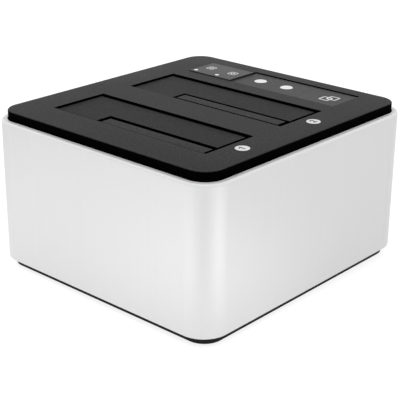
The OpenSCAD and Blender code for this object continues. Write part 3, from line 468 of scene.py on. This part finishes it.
# Spark texture: grains of about 0.1 mm, drawn at 1.2 mm so that they show, with a low, broad gloss
lid_abs = moulded_plastic(
    "spark_textured_abs", "101010", "3B3B3C", grain=0.0012, depth=0.0002, roughness=0.38, specular=0.027,
)
weld_distance, flat_angle, crease_angle = 1e-6, math.radians(0.2), math.radians(30)
least_upward = 0.7


def merged_copy(node):
    """A copy of a CAD node's mesh as joined faces, smooth across small angles only."""
    shape = bmesh.new()
    shape.from_mesh(nodes[node].data)
    bmesh.ops.remove_doubles(shape, verts=shape.verts, dist=weld_distance)
    bmesh.ops.dissolve_limit(shape, angle_limit=flat_angle, verts=shape.verts, edges=shape.edges)
    for face in shape.faces:
        face.smooth = True
    for edge in shape.edges:
        edge.smooth = edge.calc_face_angle(math.pi) < crease_angle
    return shape


def textured_top_painted_shade_walls(name, node, body, textured):
    """Stands a copy in for a CAD node, textured on its upper faces and plain on the rest, whose darker
    colour is painted shade.
    """
    shape = merged_copy(node)
    for face in shape.faces:
        face.material_index = 0 if face.normal.z > least_upward else 1
    piece = finished_mesh(name, shape, textured, plain_painted_shade_abs)
    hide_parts(node)
    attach(piece, body)


textured_top_painted_shade_walls("lid", "top_lid", "case", lid_abs)


# Control board: hangs under the lid by three screws, with two push switches and two lamps. Hidden by
# the strip above it, apart from the lamps' light pipes.
# Black nylon: the switches' dull bodies
switch_nylon = moulded_plastic(
    "black_nylon", "141415", "222224", grain=0.0006, depth=0.00002, roughness=0.5, specular=0.4,
)
dress(switch_nylon, "push_switches")
# Grey acetal: the plungers, smooth and slightly waxy
plunger_acetal = moulded_plastic(
    "grey_acetal", "5A5C5F", "6E7073", grain=0.0006, depth=0.00002, roughness=0.4, specular=0.5,
)
dress(plunger_acetal, "left_plunger", "right_plunger")
# Clear epoxy lamps: glossy and slightly yellow
lamp_epoxy = moulded_plastic(
    "clear_lamp_epoxy", "D8D2B0", "EFEACB", grain=0.0005, depth=0.00001, roughness=0.25, specular=0.5,
)
dress(lamp_epoxy, "indicator_lamps")
# Frosted acrylic rods: white where the frosted ends scatter the room's light
frosted_acrylic = moulded_plastic(
    "frosted_acrylic", "F0F1F2", "FAFAFB", grain=0.0004, depth=0.00002, roughness=0.45, specular=0.5,
)
dress(frosted_acrylic, "light_pipes")


# Control strip: a raised smoke-acrylic window with two printed pictograms over the light pipes, then a
# sunk button plate and a plain end plate with a printed sign, all bonded into the lid's pocket.
# Smoke acrylic window: dark with a soft gloss, so it shows the room more than its own colour
smoke_acrylic = moulded_plastic(
    "smoke_acrylic", "1C1C1D", "262628", grain=0.0012, depth=0.00004, roughness=0.42, specular=0.36,
)
dress(smoke_acrylic, "indicator_window")
# Satin acrylic plates: an even dark grey, with little reflection
satin_acrylic = moulded_plastic(
    "satin_acrylic", "3C3C3D", "525253", grain=0.0012, depth=0.00004, roughness=0.55, specular=0.12,
)
dress(satin_acrylic, "button_plate", "end_plate")
# Printed ink: a thin, pale and slightly uneven film
pale_ink = moulded_plastic(
    "pale_printed_ink", "DEDEDF", "EEEEEF", grain=0.0004, depth=0.000005, roughness=0.6, specular=0.3,
)
ink_film = 0.00004


def printed_frame(shape, centre, side, corner, line):
    """A printed rounded square outline, flat on a plane."""
    made = bmesh.ops.create_grid(shape, x_segments=1, y_segments=1, size=side / 2)
    bmesh.ops.translate(shape, vec=centre, verts=made["verts"])
    rounded = bmesh.ops.bevel(
        shape, geom=made["verts"], offset=corner, segments=5, profile=0.5, affect="VERTICES", material=-1,
    )
    outer = max(rounded["verts"][0].link_faces, key=lambda face: face.calc_area())
    bmesh.ops.inset_region(shape, faces=[outer], thickness=line, use_boundary=True, use_even_offset=True)
    bmesh.ops.delete(shape, geom=[outer], context="FACES")


def printed_ring(shape, centre, radius, line):
    """A printed ring, flat on a plane."""
    made = bmesh.ops.create_circle(shape, cap_ends=True, segments=32, radius=radius)
    bmesh.ops.translate(shape, vec=centre, verts=made["verts"])
    disc = made["verts"][0].link_faces[0]
    bmesh.ops.inset_region(shape, faces=[disc], thickness=line, use_boundary=True, use_even_offset=True)
    bmesh.ops.delete(shape, geom=[disc], context="FACES")


def printed_piece(name, shape, ink):
    """Gives a flat print its film thickness and fixes it to the case."""
    raised = bmesh.ops.extrude_face_region(shape, geom=shape.faces[:])["geom"]
    bmesh.ops.translate(
        shape, vec=(0, 0, ink_film), verts=[v for v in raised if isinstance(v, bmesh.types.BMVert)],
    )
    bmesh.ops.recalc_face_normals(shape, faces=shape.faces)
    piece = finished_mesh(name, shape, ink)
    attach(piece, "case")


window_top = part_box("indicator_window")[1].z
pictogram_places = ((-0.0430, 0.0560), (-0.0265, 0.0555))
shape = bmesh.new()
for x, y in pictogram_places:
    printed_frame(shape, Vector((x, y, window_top)), side=0.0050, corner=0.0008, line=0.0005)
    printed_ring(shape, Vector((x, y, window_top)), radius=0.0013, line=0.0005)
printed_piece("window_pictograms", shape, pale_ink)

# The second square overlaps the first, so it lies a hair higher
end_plate_top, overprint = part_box("end_plate")[1].z, 0.00001
sign_places = ((0.0390, 0.0545, end_plate_top), (0.0418, 0.0573, end_plate_top + overprint))
shape = bmesh.new()
for place in sign_places:
    printed_frame(shape, Vector(place), side=0.0060, corner=0.0010, line=0.0008)
printed_piece("end_plate_sign", shape, pale_ink)


# Push buttons: smooth white ABS caps, level with their plate, held under the lid by their flanges.
# They ride down onto the plungers of the switches when pressed.
# White ABS: bright and clean, with a soft gloss
white_abs = moulded_plastic(
    "smooth_white_abs", "E6E6E5", "ECECEB", grain=0.004, depth=0.000004, roughness=0.35, specular=0.6,
)
dress(white_abs, "left_button", "right_button")


# Number discs: spun aluminium, pressed into the lid beside each slot, with a printed numeral that is
# read from the right-hand end of the case.
# Dark ink: a thin, matt and slightly uneven film
dark_ink = moulded_plastic(
    "dark_printed_ink", "161617", "242425", grain=0.0004, depth=0.000005, roughness=0.6, specular=0.3,
)
ring_pitch, ring_depth = 0.00015, 0.00001


def spun_aluminium(name, centre):
    """Satin aluminium with fine turning rings round a centre."""
    material, shader = start_material(name, Metallic=1.0)
    place = add_node(material, "ShaderNodeTexCoord").outputs["Object"]
    from_centre = add_node(
        material, "ShaderNodeVectorMath", {1: (centre.x, centre.y, 0)}, {0: place}, operation="SUBTRACT",
    )
    flat = add_node(
        material, "ShaderNodeVectorMath", {1: (1, 1, 0)}, {0: from_centre.outputs[0]}, operation="MULTIPLY",
    )
    radius = add_node(material, "ShaderNodeVectorMath", {}, {0: flat.outputs[0]}, operation="LENGTH")
    rings = add_node(
        material, "ShaderNodeTexNoise", {"Scale": 1 / ring_pitch, "Detail": 2.0},
        {"W": radius.outputs["Value"]}, noise_dimensions="1D",
    ).outputs["Fac"]
    colour = add_node(
        material, "ShaderNodeMix", {6: linear("D6D6D6"), 7: linear("E8E8E8")}, {0: rings}, data_type="RGBA",
    )
    gloss = add_node(material, "ShaderNodeMapRange", {"To Min": 0.38, "To Max": 0.52}, {"Value": rings})
    bump = add_node(material, "ShaderNodeBump", {"Strength": 0.3, "Distance": ring_depth}, {"Height": rings})
    links = material.node_tree.links
    links.new(colour.outputs[2], shader.inputs["Base Color"])
    links.new(gloss.outputs[0], shader.inputs["Roughness"])
    links.new(bump.outputs[0], shader.inputs["Normal"])
    return material


def figure_one(height, stroke, flag, slope):
    """The figure 1, flat and round the origin: a stem whose top left edge is drawn out as a flag."""
    shape = bmesh.new()
    stem = bmesh.ops.create_grid(shape, x_segments=1, y_segments=5, size=0.5)["verts"]
    bmesh.ops.scale(shape, vec=(stroke, height, 1), verts=stem)
    ends = sorted((v for v in stem if v.co.x < 0), key=lambda v: v.co.y)[-2:]
    edge = next(e for e in ends[0].link_edges if e.other_vert(ends[0]) is ends[1])
    drawn = bmesh.ops.extrude_edge_only(shape, edges=[edge])["geom"]
    tip = [v for v in drawn if isinstance(v, bmesh.types.BMVert)]
    bmesh.ops.translate(shape, vec=(-flag, -slope * flag, 0), verts=tip)
    return shape


def figure_two(size, swell):
    """The figure 2, flat and round the origin, from the outline of a letter."""
    letter = bpy.data.curves.new("numeral_outline", "FONT")
    letter.body = "2"
    letter.size = size
    letter.offset = swell
    letter.align_x = "CENTER"
    letter.align_y = "CENTER"
    holder = bpy.data.objects.new("numeral_outline", letter)
    outline = bpy.data.meshes.new_from_object(holder)
    shape = bmesh.new()
    shape.from_mesh(outline)
    bpy.data.objects.remove(holder)
    bpy.data.curves.remove(letter)
    bpy.data.meshes.remove(outline)
    return shape


numerals = {
    "front": figure_one(height=0.0036, stroke=0.0007, flag=0.0010, slope=0.7),
    "rear": figure_two(size=0.0052, swell=0.0001),
}
for bay, shape in numerals.items():
    low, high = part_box(f"{bay}_number_disc")
    centre = (low + high) / 2
    dress(spun_aluminium(f"spun_aluminium_{bay}", centre), f"{bay}_number_disc")
    place = Matrix.Translation((centre.x, centre.y, high.z)) @ Matrix.Rotation(math.radians(90), 4, "Z")
    bmesh.ops.transform(shape, matrix=place, verts=shape.verts)
    printed_piece(f"{bay}_numeral", shape, dark_ink)


# Flaps: black ABS, each on a steel pin between ears of the lid. A large flap is hinged along the rear
# edge of its slot and a small one along the front edge, and both fold down into the well.
# Spark texture as on the lid, painted a shade darker on the large flaps as painted shade; the small flaps
# have the lid's own
flap_abs = moulded_plastic(
    "spark_textured_flap_abs_painted_shade", "0C0C0C", "353535",
    grain=0.0012, depth=0.0002, roughness=0.38, specular=0.02,
)
for bay in ("front", "rear"):
    textured_top_painted_shade_walls(f"{bay}_large_cover", f"{bay}_large_flap", f"{bay}_large_flap", flap_abs)
    textured_top_painted_shade_walls(f"{bay}_small_cover", f"{bay}_small_flap", f"{bay}_small_flap", lid_abs)

# Ground pins: bright steel with fine lines along X
pin_steel = worked_metal(
    "ground_steel_pin", "8E9196", "B2B5B9", roughness=0.25, grain=0.0003, drawn=(0.05, 1.0, 1.0),
)
dress(pin_steel, *(f"{bay}_{size}_flap_pin" for bay in ("front", "rear") for size in ("large", "small")))


# Torsion springs: five turns of spring wire round each pin that shut the flap. The tail bears on the
# lid and the leg on the flap.
# Drawn spring wire: dark grey steel with a soft shine and fine marks
spring_wire = worked_metal("drawn_spring_wire", "5E6166", "7C7F84", roughness=0.35, grain=0.0003)
wire_d, coil_r, coil_turns, tail_reach, leg_reach = 0.0005, 0.0016, 5, 0.0028, 0.006
turn_steps, wire_sides = 24, 10


def drawn_on(shape, rim, step):
    """Draws an open rim of a tube out along a straight step, and gives the new rim."""
    drawn = bmesh.ops.extrude_edge_only(shape, edges=rim)["geom"]
    ends = [v for v in drawn if isinstance(v, bmesh.types.BMVert)]
    bmesh.ops.translate(shape, vec=step, verts=ends)
    return ends, [e for e in drawn if isinstance(e, bmesh.types.BMEdge) and set(e.verts) <= set(ends)]


for bay in ("front", "rear"):
    for size, way in (("large", -1), ("small", 1)):
        low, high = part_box(f"{bay}_{size}_flap_pin")
        pin = (low + high) / 2
        low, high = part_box(f"{bay}_{size}_flap_spring")
        first, last = low.x + wire_d / 2, high.x - wire_d / 2
        shape = bmesh.new()
        bmesh.ops.create_circle(
            shape, segments=wire_sides, radius=wire_d / 2,
            matrix=Matrix.Translation((first, pin.y - way * tail_reach, pin.z + coil_r))
            @ Matrix.Rotation(math.radians(90), 4, "X"),
        )
        ends, rim = drawn_on(shape, shape.edges[:], (0, way * tail_reach, 0))
        steps = coil_turns * turn_steps
        coil = bmesh.ops.spin(
            shape, geom=ends + rim, cent=(first, pin.y, pin.z), axis=(-way, 0, 0),
            dvec=((last - first) / steps, 0, 0), angle=coil_turns * 2 * math.pi, steps=steps,
        )
        rim = [e for e in coil["geom_last"] if isinstance(e, bmesh.types.BMEdge)]
        drawn_on(shape, rim, (0, way * leg_reach, 0))
        bmesh.ops.holes_fill(shape, edges=shape.edges, sides=wire_sides)
        bmesh.ops.recalc_face_normals(shape, faces=shape.faces)
        for face in shape.faces:
            face.smooth = len(face.verts) == 4
        spring = finished_mesh(f"{bay}_{size}_spring_wire", shape, spring_wire)
        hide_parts(f"{bay}_{size}_flap_spring")
        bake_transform(spring)
